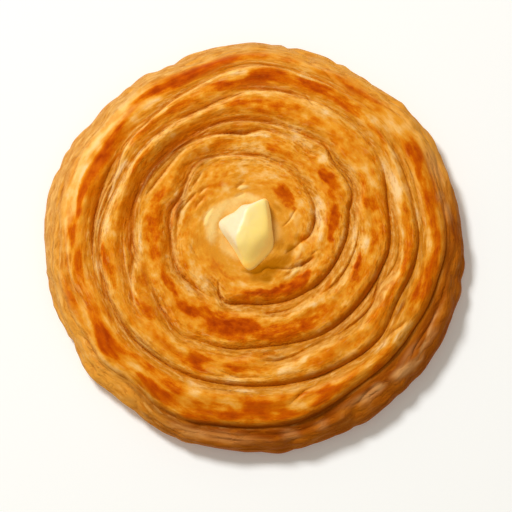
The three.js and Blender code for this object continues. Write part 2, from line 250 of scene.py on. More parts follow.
# The dough's grain runs along the coil and moves out by one turn each time round, closing up
# towards the middle. A grain is (how many a turn, millimetres apart, random seed), and a layered
# noise is a list of (height, grain).
COIL_PITCH = 17
NOISE_ROWS = 512
GRAIN_CLOSES_AT = 42
SIDE_STARTS_AT = 82
SIDE_BLEND = 5
SIDE_STRETCH = 0.4
LUMPS = [(0.26, (14, 6, 3)), (0.22, (30, 3.2, 4))]
SIDE_LUMP_GRAIN = (56, 5, 6)
SIDE_LUMP_HEIGHT = 1.3
SIDE_LUMP_LEVEL = 0.35
# Thin leaves of dough show in the creases and down the side. They follow the nearest crease, each
# point of which is set against the mean of its route this many degrees before and behind.
LEAF_REACH = 4.5
LEVEL_STEPS = range(-30, 31, 10)
STRAIGHT_WEIGHT = 0.15
LEAFY_ALL_OVER = 0.1
LEAFY_NEAR = 0.7
LEAFY_SIDE = 0.8
LEAF_GRAIN = (34, 2.1, 7)
LEAF_DEPTH = 0.32
LEAF_GAP = 0.3
FINE_LEAF_GRAIN = (56, 1.3, 8)
FINE_LEAF_DEPTH = 0.22
FINE_LEAF_GAP = 0.35
LEAF_SKIN = [(0.12, (44, 1.1, 9))]
PATCHY_GRAIN = (12, 6, 5)
PATCHY_SPAN = (-0.5, 0.4)
# Raised lips stand beside a crease, in shares of its slope, with gaps along them.
LIP_PLACE = 0.75
LIP_WIDTH = 0.35
LIP_HEIGHT = 0.3
OUTER_LIP_GRAIN = (9, 8, 21)
INNER_LIP_GRAIN = (9, 8, 22)
LIP_GAPS = (-0.3, 0.5)
# For the thin lines: the offset where none is near, and how fast a line's pull fades.
FAR_FROM_LINES = 9
CLOSENESS_REACH = 2

# The butter's faces round its middle: [degrees round, degrees up, millimetres from the middle].
BUTTER_FACES = [
    [0, -90, 3.2],
    [160, 55, 6.1],
    [-18, 80, 5],
    [118, 12, 8.8],
    [212, 8, 8.8],
    [7, 8, 9.6],
    [-45, 42, 7.7],
    [270, 56, 8.1],
]
BUTTER_MIDDLE = (-3, 3)
BUTTER_ABOVE_BASE = 3.2
BUTTER_EDGE_SHARPNESS = 8
BUTTER_FOOT_HEIGHT = 3
BUTTER_FOOT_FLARE = 1.6
BUTTER_RUNS_TOWARDS = 297
# Where its sides sag outwards as it softens, with the rim's columns.
BUTTER_SAGS = [[102, 1.6, 18], [140, 0.4, 12]]
BUTTER_FOOT_EDGE = [(0.5, (9, 6, 41))]
BUTTER_DENTS = [(0.2, (12, 3, 42))]
# How far its foot lies below its solid, in the bread.
BUTTER_SINKS = 0.5
# Its side towards the lamp, in degrees round, is painted paler: a painted highlight.
BUTTER_LAMP_SIDE = 155

# The butter that has run into the dough: how far it reaches from the middle, and its cream and
# amber places as [degrees, distance along the skin, half length in degrees, half width, strength].
# Some cream places are painted light over the butter's shadow, and the amber is partly the butter's
# painted shadow.
MELT_MIDDLE = (-3.5, 1.5)
MELT_REACH = 24
MELT_EDGE = [(2.5, (14, 12, 51))]
MELT_FADES_IN = 10
MELT_FADES_OUT = 3
MELT_RAGGEDNESS = 0.4
CREAM_RISE = 0.5
MELT_CREAM_AND_LIGHT = [
    [172, 12.5, 12, 2, 0.5], [8, 10.5, 30, 3, 0.35], [152, 17.5, 32, 2.6, 0.7],
    [156, 20.3, 13, 1.1, 0.9], [100, 16.5, 26, 2.2, 0.6], [99, 21.6, 6, 1.1, 0.7],
    [119, 24, 4, 3, 0.35], [180, 17, 14, 2.5, 0.4], [205, 12, 26, 3, 0.45], [235, 11.5, 20, 2, 0.35],
    [338, 22, 10, 1, 0.4], [320, 24.3, 9, 0.7, 0.55], [20, 19.5, 12, 1.5, 0.3], [80, 14, 14, 2.5, 0.4],
    [124, 13.4, 22, 2.4, 0.5],
]
MELT_AMBER_AND_SHADOW = [
    [282, 16, 18, 3.4, 1], [306, 16.5, 18, 3.8, 0.95], [322, 18.5, 10, 2.6, 0.7],
    [338, 17.6, 10, 2, 0.8], [48, 16, 10, 1.4, 0.5], [25, 12, 16, 1.7, 0.1], [0, 11.5, 18, 1.8, 0.15],
    [340, 13, 14, 2.2, 0.6], [356, 19.4, 8, 1.6, 0.6], [289, 20.6, 8, 1.9, 0.9],
    [276, 12, 12, 1.4, 0.75], [276, 19.8, 8, 1.5, 0.5], [262, 16, 10, 1, 0.3], [103, 26, 9, 2.5, 0.35],
    [140, 22.5, 8, 1.3, 0.25],
]

# How ragged the coloured places are: along the coil in degrees, across it, and in strength.
EDGE_TURNED = [(1.8, (30, 4, 11)), (1, (70, 2, 12))]
EDGE_MOVED = [(0.9, (30, 3.5, 13)), (0.5, (80, 1.8, 14))]
EDGE_RAGGED = [(0.6, (60, 2.6, 15)), (0.5, (130, 1.3, 16))]
PLACE_FALL = 0.75
PLACE_RAGGED = 0.4
PLACE_EDGE = (0.08, 0.95)

# Browned places: [degrees, distance along the skin, half length in degrees, half width, strength].
BROWNED = [
    [10, 78.2, 13, 3.2, 0.4], [28, 79.2, 8, 3.2, 0.5], [28, 78.2, 4, 1.3, 0.3], [7, 67, 13, 2.5, 0.38],
    [2, 55, 6, 3.4, 0.4], [15, 53, 6, 3.6, 0.6], [27, 53.5, 5, 1.6, 0.45], [45, 55, 8, 5, 0.25],
    [3, 34, 9, 2.3, 0.85], [14, 36.2, 8, 2.3, 0.85], [25, 38.2, 7, 2.1, 0.7], [37, 41.4, 9, 2.8, 0.85],
    [52, 22.8, 15, 3.8, 0.8], [36, 20.8, 8, 2.2, 0.55], [36, 28, 10, 2.2, 0.2], [41, 71, 5, 2, 0.45],
    [55, 81, 7, 2.4, 0.5], [54, 72.4, 8, 3, 0.65], [35, 62, 6, 1.2, 0.3], [67, 74, 6, 2.6, 0.65],
    [72, 71.5, 8, 2.6, 0.4], [86, 72.6, 7, 2.2, 0.85], [91, 70.3, 5, 1.8, 0.8], [99, 70.3, 5, 1.3, 0.5],
    [66, 81, 5, 2, 0.25], [89, 82.5, 3.5, 2, 0.3], [88.5, 88, 3.5, 2, 0.45], [104, 69, 7, 2, 0.3],
    [98, 82, 4, 3, 0.5], [106, 80.5, 10, 3.2, 0.55], [115, 79.5, 10, 3.4, 0.6], [77, 60.5, 7, 2.2, 0.5],
    [83, 57, 6, 3, 0.5], [96, 60, 6, 2.2, 0.6], [118, 66, 8, 2.6, 0.4], [64, 57, 4, 3, 0.4],
    [63, 50.3, 4, 0.9, 0.5], [76, 39.5, 9, 2, 0.5], [66, 39.3, 6, 1.2, 0.4], [90, 48.8, 18, 1, 0.35],
    [107, 43.5, 7, 1.8, 0.3], [114, 29.5, 9, 1.8, 0.3], [78, 84.5, 4, 4, 0.25],
    [123, 80.5, 8, 1.8, 0.65], [144, 77, 9, 2.2, 0.75], [150, 76, 6, 1.8, 0.5],
    [162, 76.3, 12, 1.9, 0.8], [145, 73.5, 6, 2, 0.35], [160, 72, 14, 3, 0.3], [178, 79, 5, 2, 0.55],
    [127, 66.5, 9, 2.4, 0.4], [136, 67.5, 4, 2, 0.35], [143, 59, 9, 1.6, 0.4], [152, 58, 10, 2, 0.3],
    [170, 57.5, 10, 2, 0.4], [174, 43, 18, 3.6, 0.5], [140, 41, 14, 1.5, 0.15], [163, 48.9, 6, 1, 0.3],
    [124, 26.8, 8, 1.8, 0.3], [179, 26.5, 5, 4, 0.3], [189, 76.4, 6, 2.3, 0.65],
    [192, 78.5, 8, 1.6, 0.35], [196, 83, 5.5, 2.4, 0.55], [204, 77, 6, 2.5, 0.35],
    [216, 78.6, 7.5, 3.2, 0.85], [217, 81, 3, 2, 0.3], [237.5, 79.3, 5.5, 2, 0.85],
    [234, 74.5, 5, 3.4, 0.4], [242, 74, 5, 3, 0.5], [208, 70.6, 3.5, 0.9, 0.35],
    [218, 72.5, 4, 1.4, 0.3], [187, 64.5, 6, 1.4, 0.4], [192, 62.5, 10, 3, 0.3], [215, 56, 7, 2.4, 0.5],
    [218, 53, 8, 2.4, 0.45], [200, 50.5, 6, 2.4, 0.45], [232, 60, 6, 2, 0.35], [212, 41.8, 9, 2, 0.8],
    [204, 40.5, 6, 1.6, 0.3], [226, 43.3, 5, 2.2, 0.6], [231, 42, 6, 2, 0.7], [238, 39.5, 8, 3, 0.65],
    [203, 31.5, 8, 1.6, 0.3], [230, 26, 10, 1.5, 0.25], [222, 20.5, 20, 2.2, 0.5],
    [190, 22.5, 8, 2.5, 0.25], [242, 79.5, 4, 2.4, 0.5], [253, 77, 5, 2.6, 0.6],
    [262.5, 78.6, 3.2, 1.4, 0.7], [271.5, 74.8, 5, 2.8, 0.85], [278, 77, 5, 3, 0.6],
    [295, 75, 5.5, 2.8, 0.75], [287, 79, 4, 1.5, 0.4], [285.5, 71, 2.5, 1, 0.4],
    [246.5, 59, 5.5, 3, 0.85], [243, 62.4, 7, 2, 0.55], [263, 57.5, 5, 2, 0.35],
    [298, 61.5, 6, 2.2, 0.25], [255, 41, 13, 2.8, 0.8], [263, 40, 9, 2.4, 0.7], [268, 38, 8, 2, 0.45],
    [262, 46.5, 10, 1.2, 0.3], [273, 45, 5, 1.4, 0.4], [286, 45.5, 10, 2.8, 0.4],
    [290, 27, 14, 2.6, 0.9], [272, 26, 12, 2.2, 0.6], [260, 28, 12, 2, 0.35],
    [290, 33.5, 12, 1.2, 0.35], [247, 21, 8, 1.5, 0.3], [254, 82.5, 8, 1.5, 0.4],
    [316, 77, 5, 1.8, 0.5], [303, 75, 4, 3, 0.35], [345, 77, 8, 2.6, 0.45], [354, 79, 8, 2, 0.4],
    [324, 64.5, 6, 1.6, 0.45], [337, 63.5, 5, 1.6, 0.4], [352, 67, 9, 2.2, 0.38],
    [302, 45.5, 5, 2, 0.6], [312, 44.5, 8, 2, 0.4], [337, 47.5, 10, 2.2, 0.5], [344, 45.8, 6, 1.6, 0.8],
    [330, 50.5, 8, 1.4, 0.3], [326, 38.6, 5, 1.3, 0.55], [312, 29, 14, 2.8, 0.85],
    [323, 29, 5, 1.6, 0.5], [356, 33, 5, 2, 0.6], [331, 33, 10, 1.5, 0.3], [355, 21, 9, 2.4, 0.5],
    [127, 51.5, 10, 2.2, 0.6], [140, 52.3, 10, 2, 0.7], [152, 52.4, 9, 2, 0.7],
    [172, 51.6, 9, 1.8, 0.5], [125, 39.6, 7, 2, 0.25], [162, 34.4, 10, 1.8, 0.5],
    [258, 43.5, 14, 3, 0.5], [250, 45, 8, 2.4, 0.4], [276, 52.5, 6, 1.8, 0.5], [92, 68.3, 12, 2.2, 0.7],
    [78, 75.2, 6, 2.4, 0.5], [335, 70.2, 8, 1.8, 0.45], [342, 72.6, 7, 1.8, 0.4],
    [236, 80.3, 6, 2.4, 0.6], [57, 84, 12, 2.6, 0.4], [108, 84, 14, 2, 0.4], [19, 84, 8, 3, 0.5],
    [285, 43, 28, 5, 0.45], [272, 79.5, 20, 2.2, 0.45], [268, 72, 16, 3, 0.3], [90, 76, 10, 3, 0.15],
    [92, 82, 12, 4, 0.2], [356, 78, 26, 2.6, 0.2], [118, 68.8, 6, 2, 0.5], [154, 74, 8, 1.8, 0.6],
    [199, 62.7, 6, 1.6, 0.45], [220, 75, 5, 2, 0.6], [250, 57.4, 6, 1.6, 0.6], [262, 59.3, 6, 1.5, 0.5],
    [264, 77.4, 5, 2, 0.6], [270, 58.7, 5, 1.5, 0.4], [292, 73.2, 4, 1.4, 0.5],
    [358, 50.8, 8, 1.6, 0.45], [168, 76.2, 5, 1.5, 0.5], [250, 81.3, 5, 2, 0.5],
    [263, 60.9, 6, 1.4, 0.4], [283, 76.8, 5, 1.6, 0.4], [312, 63.7, 5, 1.5, 0.4],
    [27, 58.2, 6, 1.6, 0.4], [159, 44.4, 7, 1.8, 0.45], [192, 42.7, 5, 2, 0.4],
    [250, 36.8, 6, 1.6, 0.5], [259, 74.8, 4, 1.6, 0.45], [269, 42.4, 6, 1.8, 0.5],
    [317, 74, 4, 1.6, 0.4], [339, 73.7, 5, 1.6, 0.45], [34, 81.4, 5, 1.8, 0.4], [326, 62, 6, 1.6, 0.4],
    [349, 65, 6, 1.5, 0.4], [110, 81.3, 6, 2, 0.65], [228, 73.8, 5, 1.8, 0.5], [308, 72.2, 5, 1.5, 0.4],
    [86, 59.7, 5, 1.6, 0.35], [19, 76.8, 6, 1.8, 0.4],
]

# Places left pale, with the same columns.
PALE = [
    [23, 65.5, 10, 2.6, 0.7], [47, 73.5, 3.2, 4, 0.6], [12, 29, 16, 1.6, 0.5], [24, 21.5, 7, 2.4, 0.3],
    [33, 51, 6, 2.4, 0.3], [33, 86.5, 10, 2.2, 0.35], [38, 78, 4, 2.2, 0.45], [50, 45.5, 3.5, 1.4, 0.5],
    [5, 43.5, 8, 1.4, 0.4], [8, 71.8, 5, 1, 0.45], [9, 63, 13, 0.9, 0.5], [64, 63.5, 6, 2.6, 0.5],
    [84, 64.4, 7, 1.2, 0.25], [87, 45.4, 7, 1.2, 0.5], [96, 73.8, 4, 1.1, 0.6], [88, 33, 18, 1.6, 0.3],
    [82, 87, 4, 2.5, 0.2], [96, 88, 4, 2.5, 0.15], [114, 87.5, 12, 2, 0.5], [73, 77.2, 4, 1, 0.7],
    [99, 21.5, 6, 1.2, 0.5], [74, 81, 3, 3, 0.4], [134, 86, 12, 2.6, 0.5], [150, 81, 14, 1.6, 0.6],
    [168, 82.6, 7, 1.8, 0.6], [152, 64, 8, 2.6, 0.4], [160, 62, 8, 0.9, 0.5], [172, 63.4, 10, 1.6, 0.5],
    [125, 58.5, 8, 1.6, 0.35], [181, 47.8, 9, 0.9, 0.7], [147, 38.6, 8, 1.5, 0.5],
    [165, 31.6, 14, 0.9, 0.45], [156, 20.5, 14, 1.2, 0.6], [128, 69.3, 10, 0.9, 0.5],
    [126, 76, 5, 2, 0.3], [192, 68.2, 5, 1, 0.65], [206, 81.5, 5, 2, 0.45], [187, 88, 9, 2.5, 0.3],
    [220, 84.2, 4, 1.2, 0.4], [204, 55.6, 8, 0.9, 0.6], [196, 51, 4, 1, 0.5], [220, 36.5, 10, 1.8, 0.4],
    [228, 30.5, 12, 2, 0.4], [211, 71.8, 4, 1.6, 0.3], [231, 77, 4, 2, 0.6], [236, 57.5, 4, 2, 0.25],
    [248, 81, 3, 2.4, 0.45], [248, 72.5, 3.5, 2.6, 0.45], [262, 73, 4, 2.4, 0.45],
    [250, 68.6, 9, 1.2, 0.5], [268, 67.5, 4, 1.2, 0.7], [283, 68, 8, 1.2, 0.4],
    [285, 75.4, 4, 1.3, 0.3], [261, 63.2, 5, 0.9, 0.3], [283, 60.5, 4, 2.4, 0.5],
    [291, 57.6, 6, 1.2, 0.75], [250, 52.6, 12, 1, 0.55], [281, 52.5, 6, 1.2, 0.3],
    [298, 39.4, 9, 1.5, 0.6], [254, 32.8, 12, 1.2, 0.55], [256, 22.5, 10, 1.4, 0.35],
    [320, 71.8, 4, 1.3, 0.6], [326, 75, 4.5, 1.3, 0.55], [345, 71.5, 8, 1.4, 0.35],
    [358, 75.5, 6, 2, 0.55], [306, 64, 5, 1.4, 0.25], [318, 59.6, 10, 1.6, 0.2],
    [331, 60.2, 9, 1, 0.25], [352, 63.6, 10, 0.9, 0.5], [311, 39.4, 8, 1.3, 0.5],
    [335, 43.8, 10, 1, 0.3], [357, 47.5, 6, 2, 0.55], [318, 24.2, 14, 1, 0.5], [345, 22, 9, 1.8, 0.35],
    [357, 28.5, 6, 1.8, 0.4], [304, 57, 6, 1.5, 0.35], [142, 61.9, 11, 2, 0.8],
    [135, 74.2, 5, 2.4, 0.4], [71, 50.5, 7, 2.2, 0.7], [6, 25, 8, 1.6, 0.5], [18, 28.8, 8, 1.8, 0.6],
    [28, 32.2, 8, 1.8, 0.6], [28, 65.4, 5, 2, 0.6], [29, 70.9, 5, 1.5, 0.5], [64, 46.7, 6, 1.8, 0.6],
    [91, 39, 10, 2, 0.65], [110, 63.8, 5, 1.5, 0.4], [131, 57.6, 8, 1.8, 0.7], [166, 62.8, 6, 1.4, 0.6],
    [288, 62.9, 5, 1.5, 0.4], [355, 43.2, 9, 1.8, 0.7], [30, 45.5, 7, 1.6, 0.15],
    [130, 76.2, 6, 1.6, 0.5], [152, 78, 6, 1.4, 0.5], [161, 78.2, 6, 1.5, 0.75],
    [182, 66.4, 14, 1.8, 0.5], [326, 77.2, 8, 1.7, 0.8], [310, 77.2, 8, 1.5, 0.4],
    [139, 56.8, 9, 1.6, 0.5], [197, 37.8, 6, 1.6, 0.4], [72, 27.5, 10, 2, 0.45],
    [137, 71.3, 8, 1.2, 0.5], [155, 64.8, 6, 1.6, 0.5], [193, 66.6, 5, 1.6, 0.5],
    [209, 68.5, 5, 1.4, 0.45], [35, 24.5, 6, 1.8, 0.35], [144, 61, 5, 1.2, 0.6],
    [234, 28.8, 4, 1.4, 0.4], [278, 29.6, 5, 1.2, 0.4],
]

# Floors of dull tan dough that lie open between two folds, with the same columns.
VALLEYS = [
    [8, 43.2, 12, 1.6, 0.5], [18, 44.8, 6, 1, 0.5], [35, 48.2, 14, 1.2, 0.6], [58, 48, 8, 1.6, 0.4],
    [10, 72, 14, 1.5, 0.6], [28, 73.5, 10, 1.4, 0.5], [12, 61.3, 16, 1.6, 0.8], [98, 51, 14, 1.4, 0.7],
    [112, 50.5, 8, 1.8, 0.8], [98, 46.3, 7, 1.1, 0.8], [128, 50.5, 12, 2, 0.9], [145, 49.7, 12, 2.2, 1],
    [165, 51.3, 12, 1.4, 0.8], [185, 52, 14, 2.4, 0.7], [192, 53.5, 6, 2, 0.7],
    [128, 36.5, 12, 1.6, 0.6], [143, 37.6, 9, 1.4, 0.5], [148, 33, 12, 1.4, 0.7],
    [165, 33.5, 14, 1.5, 0.7], [188, 33.6, 14, 1.2, 0.6], [158, 66.6, 10, 1.8, 0.9],
    [172, 68, 12, 1.3, 0.8], [205, 48.6, 16, 1.6, 0.5], [215, 66.8, 20, 1.8, 0.6],
    [232, 66, 12, 1.4, 0.5], [228, 52.6, 10, 1.2, 0.4], [283, 52.8, 10, 1.8, 0.7],
    [272, 51, 7, 1.4, 0.6], [297, 51.6, 8, 1.2, 0.8], [296, 54.3, 6, 1, 0.5], [318, 55.6, 14, 1.4, 0.7],
    [334, 57, 12, 1.6, 1], [352, 60, 10, 1.6, 0.9], [345, 40.8, 10, 1.6, 0.8],
    [338, 69.8, 12, 1.2, 0.6], [352, 72, 8, 1.2, 0.6], [310, 68.2, 10, 1, 0.4],
]
VALLEY_COLOUR = (0.56, 0.2, 0.012)

# The side of the rim: tan where it is barely baked, with painted shade, darker brown, on the part
# turned away from the lamp, as [degrees, half length in degrees, strength].
SIDE_SHADED = [[302, 64, 1], [352, 24, 0.85]]
SIDE_SHADED_EDGE = (0.5, 1.3)
CRUST_EDGE_SPAN = (-0.3, 1.5)
SIDE_SHADE_COLOUR = (0.37, 0.095, 0.005)
SIDE_TAN = (0.82, 0.37, 0.05)
# Where the side faces the lamp its tan is darker: painted shade that evens out the lamp's light.
SIDE_TAN_DIMMED_TOWARDS_LAMP = (0.62, 0.29, 0.065)
# Pale lobes of dough low on the side, with the columns of the places.
SIDE_LOBES = [
    [262, 88, 9, 2, 0.35], [250, 88.5, 6, 2.4, 0.4], [280, 86.5, 2.5, 1.8, 0.4],
    [289, 86.5, 2, 1.6, 0.4], [302, 84, 6, 1.5, 0.3], [304, 85.3, 2.2, 2, 0.6],
    [309, 85, 1.8, 1.8, 0.75], [318, 86.3, 2.6, 2, 0.95], [323, 88, 2.5, 1.2, 0.8],
    [328, 86.6, 3, 0.7, 0.8], [333, 86.2, 3, 0.7, 0.8], [338, 85.6, 2.5, 0.7, 0.7],
    [308, 86, 3.5, 1.6, 0.5], [320, 87.4, 4, 1.5, 0.45], [331, 87.4, 4, 1.3, 0.4],
    [323, 83.2, 4, 1.2, 0.3], [9, 87, 3, 1.6, 0.45], [14, 85.5, 1.5, 2.4, 0.5], [24, 87, 5, 3.4, 0.5],
]
SIDE_LOBE_COLOUR = (0.68, 0.34, 0.12)
# Painted shade: dark under the crust's edge, deep between two folds and at the foot of the side,
# with the same columns.
PAINTED_SHADE = [
    [268, 84.6, 18, 2.6, 0.97], [244, 85, 10, 2.4, 0.5], [288, 83, 9, 2.8, 0.93],
    [302, 82.2, 12, 2.4, 0.7], [318, 82.5, 10, 2.3, 0.65], [334, 83.3, 12, 2.3, 0.6],
    [352, 84.6, 12, 2, 0.55], [3, 88, 5, 2.6, 0.6], [330, 85, 5, 0.7, 0.5], [313, 86, 1.2, 2, 0.5],
    [129, 50.6, 9, 1.6, 0.7], [141, 51.7, 9, 1.5, 0.5], [150, 53, 12, 1.4, 0.8],
    [147, 34.3, 6, 1.2, 0.4], [158, 33.8, 8, 1.6, 0.7], [280, 54.2, 6, 1.2, 0.4],
    [334, 69.9, 5, 1.2, 0.7], [121, 39.3, 8, 1.5, 0.6], [286, 34.9, 6, 1, 0.3],
    [125, 40.2, 6, 0.8, 0.4], [174, 50, 7, 1.4, 0.2], [237, 86.5, 9, 2.4, 0.3],
    [236, 81.5, 5, 1.6, 0.25], [248, 92, 12, 2, 0.35], [335, 92.5, 45, 1.8, 0.35],
    [16, 88.5, 9, 2.4, 0.3], [0, 85.5, 8, 2, 0.35], [151, 52, 10, 1.2, 0.5], [316, 54, 8, 1.2, 0.4],
    [301, 53.2, 6, 1.2, 0.35],
]
PAINTED_SHADE_COLOUR = (0.22, 0.034, 0.001)

PLACES = {
    "browned": BROWNED,
    "pale": PALE,
    "valley": VALLEYS,
    "side_lobes": SIDE_LOBES,
    "seam": PAINTED_SHADE,
}

# The crust's colours, from the palest place to the most browned.
CRUST_TONES = [
    [0.0, (0.97, 0.66, 0.33)],
    [0.16, (0.93, 0.52, 0.145)],
    [0.33, (0.85, 0.36, 0.03)],
    [0.5, (0.75, 0.225, 0.005)],
    [0.66, (0.65, 0.14, 0.001)],
    [0.82, (0.54, 0.082, 0.001)],
    [1.0, (0.38, 0.042, 0.001)],
]
# Painted shade at the bottoms of the cuts and in the dark lines of creases and wrinkles; the thin
# strand lines are drawn in it too.
DARK_LINE_AND_SHADE_COLOUR = (0.33, 0.07, 0.002)
# Painted shade in the deep hollows of the creases.
HOLLOW_SHADE_COLOUR = (0.6, 0.2, 0.006)
# Painted highlight on the lips beside the creases and on pale strokes, where light falls.
LIT_EDGE_COLOUR = (0.97, 0.62, 0.2)
# Painted shade: faces of the folds turned away from the lamp are darker and redder.
# Painted light: faces turned towards it are paler.
SHADED_BACK_COLOUR = (0.64, 0.15, 0.001)
LIT_FRONT_COLOUR = (0.91, 0.6, 0.21)
STROKE_COLOUR = (0.46, 0.13, 0.004)
BUTTER_TONES = [
    [0.0, (0.7, 0.63, 0.48)],
    [0.4, (0.84, 0.68, 0.24)],
    [0.75, (1.0, 0.7, 0.14)],
    [1.0, (0.95, 0.48, 0.025)],
]
MELT_GOLD = (0.72, 0.315, 0.03)
# The cream colour is partly painted light, the amber partly painted shadow.
MELT_CREAM_AND_LIGHT_COLOUR = (0.96, 0.7, 0.28)
MELT_AMBER_AND_SHADOW_COLOUR = (0.45, 0.145, 0.001)

# The grain in the crust's colours, as waves round, waves a millimetre out, detail and roughness.
CRUST_GRAINS = {
    "clouds": (4, 0.16, 2, 0.5),
    "blotches": (14, 0.33, 3, 0.5),
    "streaks": (12, 0.9, 4, 0.6),
    "grain": (60, 1.8, 3, 0.6),
    "strands": (9, 0.5, 2, 0.5),
    "strokes": (15, 1.15, 2, 0.5),
}
# What darkens the crust's tone, or lightens it below 0, and by how much. Its darkening in the
# hollows is painted shade, and the extra paling of pale places towards the lamp is painted light.
TONE_START = -0.375
TONE_WEIGHTS = {
    "clouds": 0.5, "blotches": 0.7, "streaks": 0.2, "grain": 0.09, "browned": 0.3,
    "scorched": 0.22, "pale": -0.14, "pale_not_back": -0.34, "lip": -0.1, "leaf": -0.3,
    "hollow": 0.04,
}
# What shows over that as paler lines, which are painted highlights, as darker lines, which are
# mostly painted shade, and in the finest relief.
PALE_WEIGHTS = {"lips": 0.3, "pale_strokes": 0.38}
DARK_WEIGHTS = {
    "cut_bottom": 0.15, "crease_line": 0.75, "foot_line": 0.6, "wrinkle_line": 0.5,
    "strand_line": 0.1,
}
BUMP_WEIGHTS = {
    "leafy_streaks": 1, "grain": 0.25, "crease_line": -0.35, "wrinkle_line": -0.5,
    "strand_line": -0.3, "dark_strokes": -0.4, "pale_strokes": 0.3,
}

# How fine the bread's mesh is: sectors round, rings from the middle of the top to the middle of
# the base, and how many of those lie under the butter and in the base.
SECTORS = 400
RING_COUNT = 246
RINGS_UNDER_BUTTER = 6
BASE_RING_COUNT = 10


def smooth_step(x, start, end):
    t = np.clip((x - start) / (end - start), 0, 1)
    return t * t * (3 - 2 * t)


def bell(x, middle, width):
    """A rounded hump that is 1 at its middle."""
    return np.exp(-(((x - middle) / width) ** 2))


def degrees_away(angle, centre):
    """How far an angle lies from a centre, from -180 to 180."""
    return (angle - centre + 540) % 360 - 180


def read_curve(rows, x, column):
    """A smooth curve through the rows of a table, read at x in its first column."""
    table = np.asarray(rows, float)
    knots = table[:, 0]
    values = table[:, column]
    last = len(knots) - 1
    before = np.maximum(np.arange(last + 1) - 1, 0)
    after = np.minimum(np.arange(last + 1) + 1, last)
    slopes = (values[after] - values[before]) / (knots[after] - knots[before])
    i = np.clip(np.searchsorted(knots, x, side="right") - 1, 0, last - 1)
    run = knots[i + 1] - knots[i]
    t = np.clip((x - knots[i]) / run, 0, 1)
    from_start = (1 + 2 * t) * (1 - t) ** 2 * values[i]
    from_end = t * t * (3 - 2 * t) * values[i + 1]
    leaving = t * (1 - t) ** 2 * run * slopes[i]
    arriving = t * t * (t - 1) * run * slopes[i + 1]
    return from_start + from_end + leaving + arriving


def measure_skin():
    """The skin's section with the distance along it put first."""
    section = np.asarray(SKIN_SECTION, float)
    steps = np.hypot(*np.diff(section, axis=0).T)
    return np.column_stack([np.concatenate([[0], np.cumsum(steps)]), section])


SKIN = measure_skin()
SKIN_LENGTH = SKIN[-1, 0]


def coil_noise(angle, along, per_turn, cell, seed):
    """Smooth noise from -1 to 1 in grains that lie along the coil and move outwards with it."""
    shift = round(COIL_PITCH / cell)
    table = np.random.RandomState(seed).uniform(-1, 1, (per_turn, NOISE_ROWS))
    u = angle / 360 * per_turn
    v = along / cell - shift * angle / 360 + 2 * shift
    i = np.floor(u).astype(int)
    j = np.floor(v).astype(int)
    fu = smooth_step(u - i, 0, 1)
    fv = smooth_step(v - j, 0, 1)

    def grain(di, dj):
        column = i + di
        return table[column % per_turn, (j + dj + shift * (column // per_turn)) % NOISE_ROWS]

    near = grain(0, 0) * (1 - fu) + grain(1, 0) * fu
    far = grain(0, 1) * (1 - fu) + grain(1, 1) * fu
    return near * (1 - fv) + far * fv


def layered_noise(angle, along, layers):
    """Adds some noises, each with its own height."""
    return sum(height * coil_noise(angle, along, *grain) for height, grain in layers)


def along_route(angle, along, route):
    """Yields, for each turn of a route, the points beside it, their angles on it, how far out from
    it they lie, and its depth there."""
    start = route[0][0]
    end = route[-1][0]
    for turn in range(3):
        turned = angle + 360 * turn
        beside = np.flatnonzero((turned >= start) & (turned <= end))
        if len(beside):
            here = turned[beside]
            offset = along[beside] - read_curve(route, here, 1)
            yield beside, here, offset, np.maximum(read_curve(route, here, 2), 0)


def nearest_line(angle, along, routes, full_depth):
    """How far out from the nearest of some routes each point lies, and how strongly it is cut."""
    offset = np.full_like(along, FAR_FROM_LINES)
    strength, closest = np.zeros((2, len(along)))
    for route in routes:
        for beside, _, away, depth in along_route(angle, along, route):
            closeness = depth * np.exp(-np.abs(away) / CLOSENESS_REACH)
            nearer = closeness > closest[beside]
            chosen = beside[nearer]
            closest[chosen] = closeness[nearer]
            offset[chosen] = away[nearer]
            strength[chosen] = np.minimum(depth[nearer] / full_depth, 1)
    return offset, strength


def keep_larger(field, points, values):
    field[points] = np.maximum(field[points], values)


